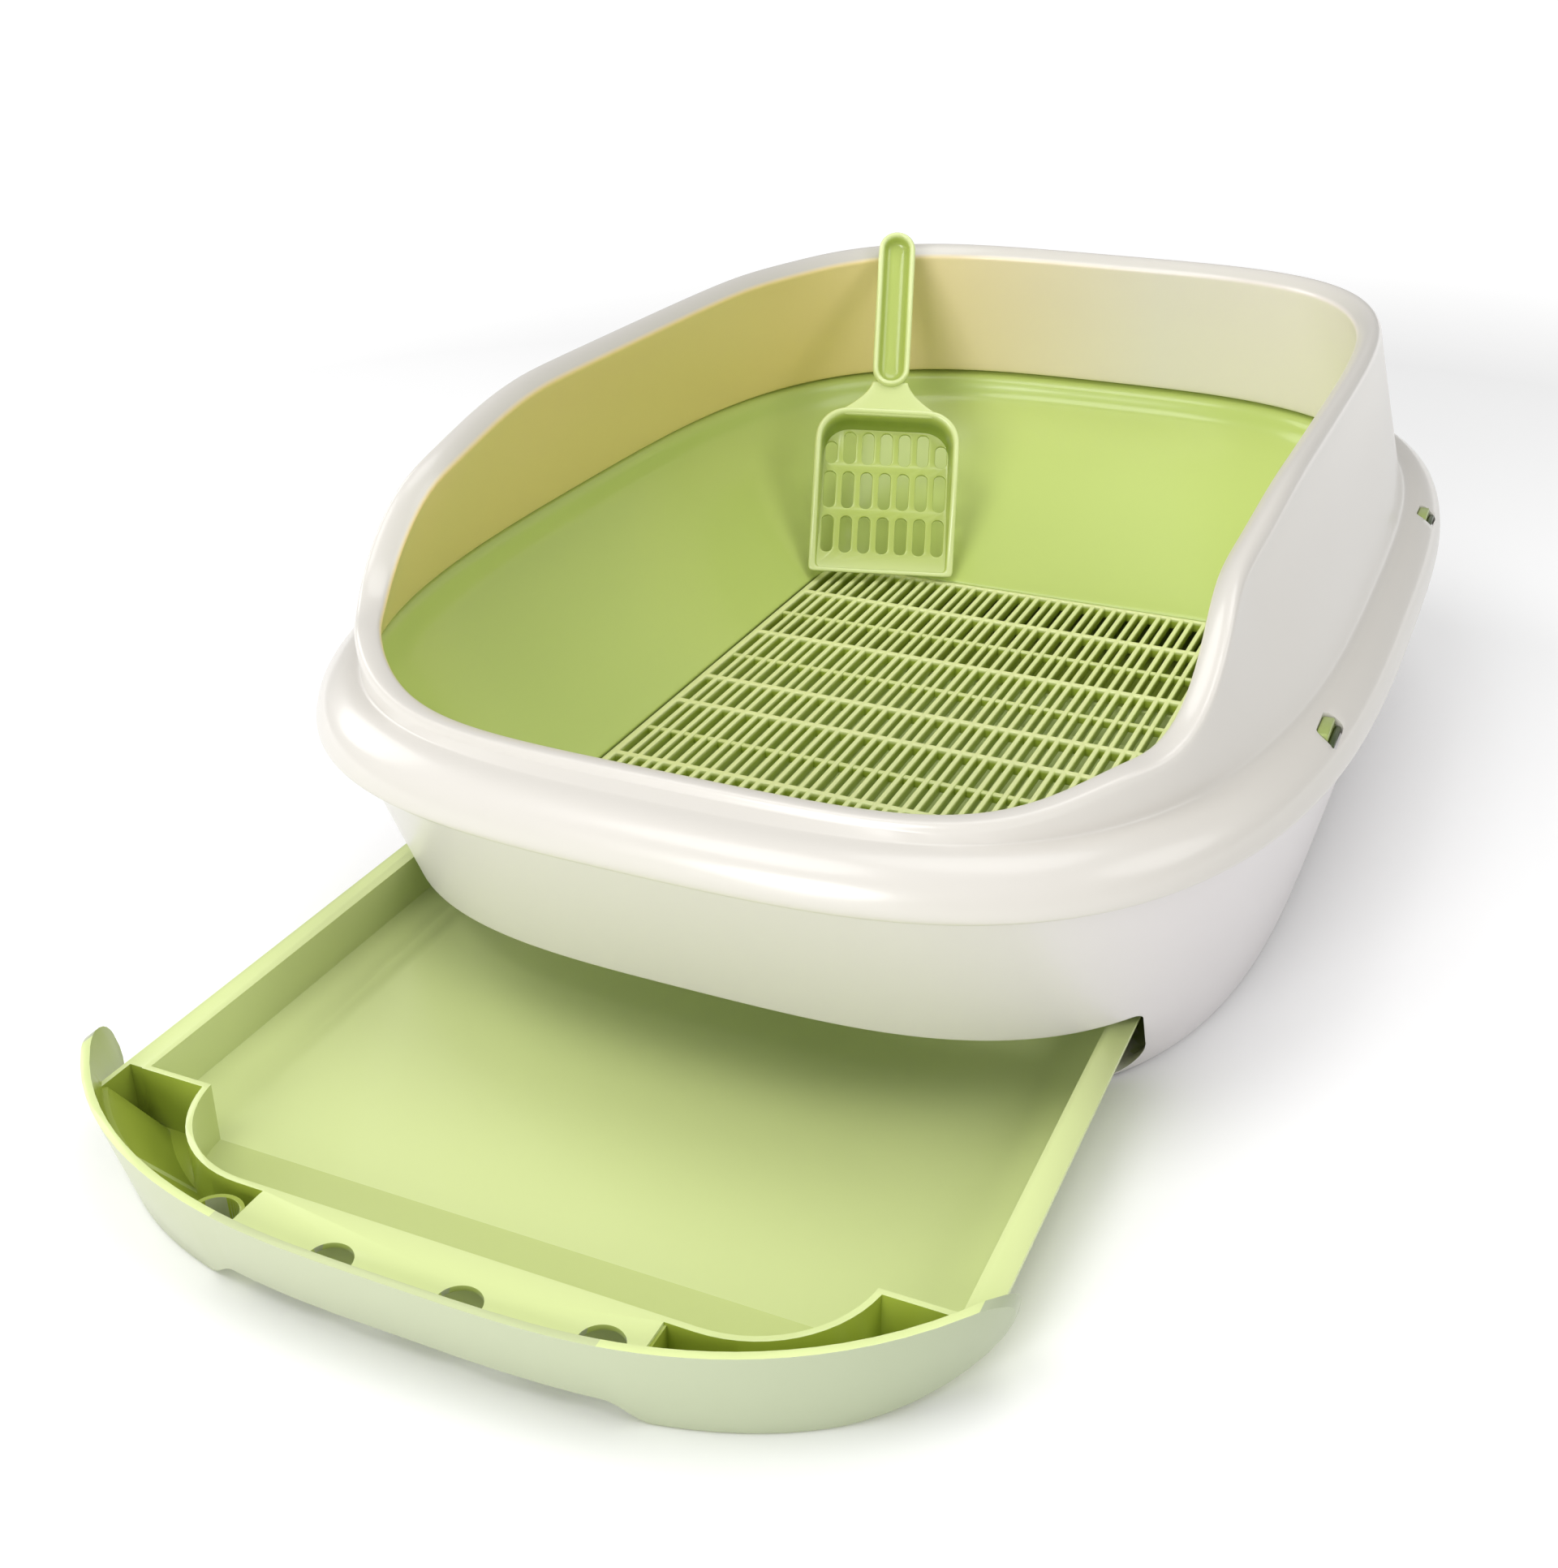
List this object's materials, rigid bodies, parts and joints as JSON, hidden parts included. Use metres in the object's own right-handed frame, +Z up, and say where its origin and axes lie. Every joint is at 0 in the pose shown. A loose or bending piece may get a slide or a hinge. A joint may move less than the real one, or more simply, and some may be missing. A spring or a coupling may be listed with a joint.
{
  "type": "drawer litter box",
  "caption": "Open litter box for a cat: white base and splash frame, green slotted sieve tub, pull-out drawer underneath and a slotted scoop.",
  "frame": {"origin": "middle of the flat underside of the base, on the floor", "axes": "+X across the box to its right as seen from the drawer, +Y to the high back, +Z up. Stored with the drawer 156 mm open towards -Y."},
  "size_m": [0.419, 0.7683, 0.2094],
  "materials": {
    "white_plastic": "soft gloss moulded polypropylene, warm white",
    "green_plastic": "soft gloss moulded polypropylene, yellow green",
    "pale_green_plastic": "soft gloss moulded polypropylene, pale yellow green"
  },
  "bodies": {
    "base": {"base": "white_plastic"},
    "sieve_tub": {"sieve_tub": "green_plastic"},
    "splash_frame": {"splash_frame": "white_plastic"},
    "drawer": {"drawer": "pale_green_plastic"},
    "scoop": {"scoop": "green_plastic"}
  },
  "joints": [
    {"name": "drawer_slide", "type": "slide", "parent": "base", "child": "drawer", "axis": [0, 1, 0], "range_m": [-0.19, 0.156]},
    {"name": "tub_lift", "type": "slide", "parent": "base", "child": "sieve_tub", "axis": [0, 0, 1], "range_m": [0, 0.12]},
    {"name": "frame_lift", "type": "slide", "parent": "sieve_tub", "child": "splash_frame", "axis": [0, 0, 1], "range_m": [0, 0.06]},
    {"name": "scoop_lift", "type": "slide", "parent": "splash_frame", "child": "scoop", "axis": [0, 0, 1], "range_m": [0, 0.2]}
  ]
}
